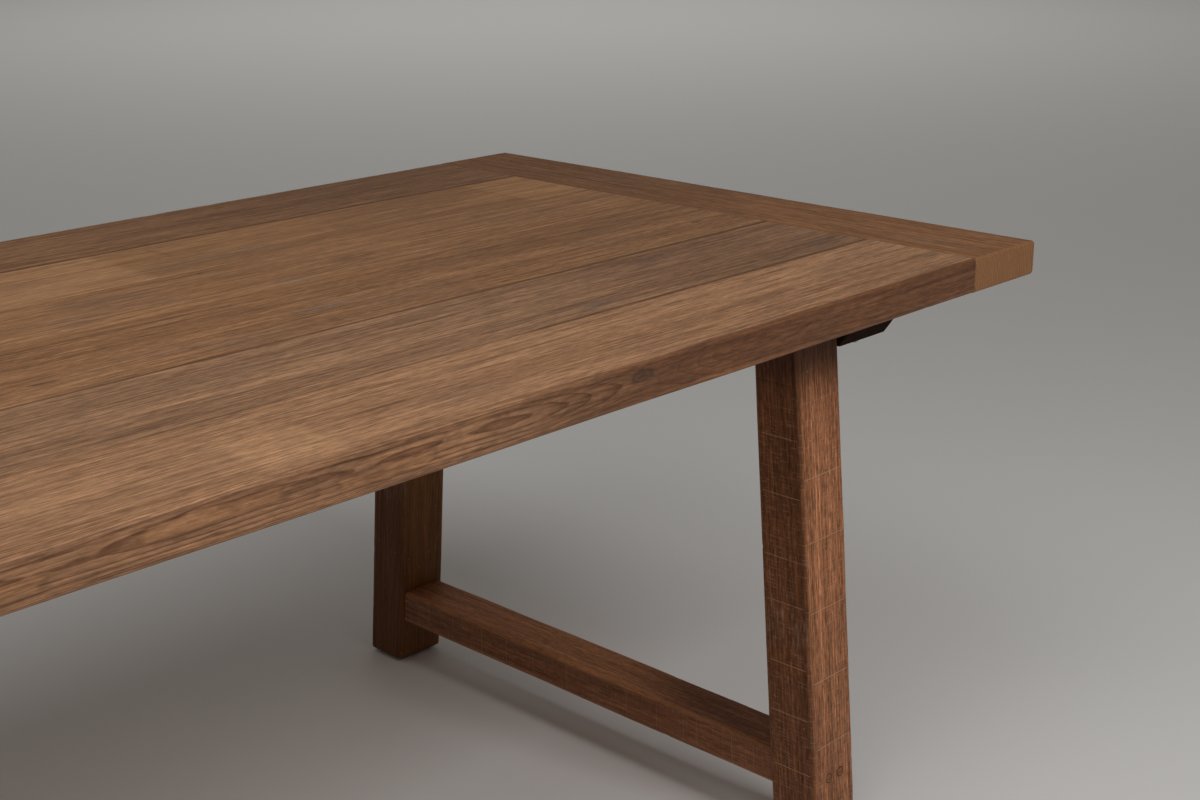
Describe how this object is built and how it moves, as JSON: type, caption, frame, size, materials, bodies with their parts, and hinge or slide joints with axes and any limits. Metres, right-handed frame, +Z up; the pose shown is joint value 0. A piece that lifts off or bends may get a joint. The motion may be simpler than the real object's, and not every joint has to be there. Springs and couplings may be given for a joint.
{
  "type": "trestle dining table",
  "caption": "Long solid-wood dining table: plank top with breadboard ends on splayed-leg trestles, each with a low stretcher and a bevelled cross batten under the top.",
  "frame": {"origin": "on the floor, below the middle of the top", "axes": "+X along the length of the table, +Y across it towards the back edge, +Z up"},
  "size_m": [2.4, 1, 0.77],
  "materials": {
    "plank_wood": "worn oiled hardwood, satin",
    "breadboard_wood": "worn oiled hardwood, satin, darker and redder",
    "leg_wood": "oiled hardwood with fine saw scratches",
    "stretcher_wood": "rough-sawn hardwood",
    "batten_wood": "dark oiled hardwood",
    "spline_wood": "plain sawn hardwood",
    "dowel_wood": "end grain, cut flush",
    "steel": "dull zinc-plated steel",
    "pad_rubber": "matte dark rubber"
  },
  "bodies": {
    "root": {"top_plank_1": "plank_wood", "top_plank_2": "plank_wood", "top_plank_3": "plank_wood", "top_plank_4": "plank_wood", "top_plank_5": "plank_wood", "top_plank_6": "plank_wood", "plank_spline_1": "spline_wood", "plank_spline_2": "spline_wood", "plank_spline_3": "spline_wood", "plank_spline_4": "spline_wood", "plank_spline_5": "spline_wood", "breadboard_right": "breadboard_wood", "breadboard_left": "breadboard_wood", "cross_batten_right": "batten_wood", "cross_batten_left": "batten_wood", "leg_right_front": "leg_wood", "leg_right_back": "leg_wood", "leg_left_front": "leg_wood", "leg_left_back": "leg_wood", "stretcher_right": "stretcher_wood", "stretcher_left": "stretcher_wood", "stretcher_dowels_right": "dowel_wood", "stretcher_dowels_left": "dowel_wood", "batten_screws_right": "steel", "batten_screws_left": "steel", "leg_bolts_right": "steel", "leg_bolts_left": "steel", "bolt_washers_right": "steel", "bolt_washers_left": "steel", "bolt_nuts_right": "steel", "bolt_nuts_left": "steel", "foot_pad_right_front": "pad_rubber", "foot_pad_right_back": "pad_rubber", "foot_pad_left_front": "pad_rubber", "foot_pad_left_back": "pad_rubber"}
  },
  "joints": []
}
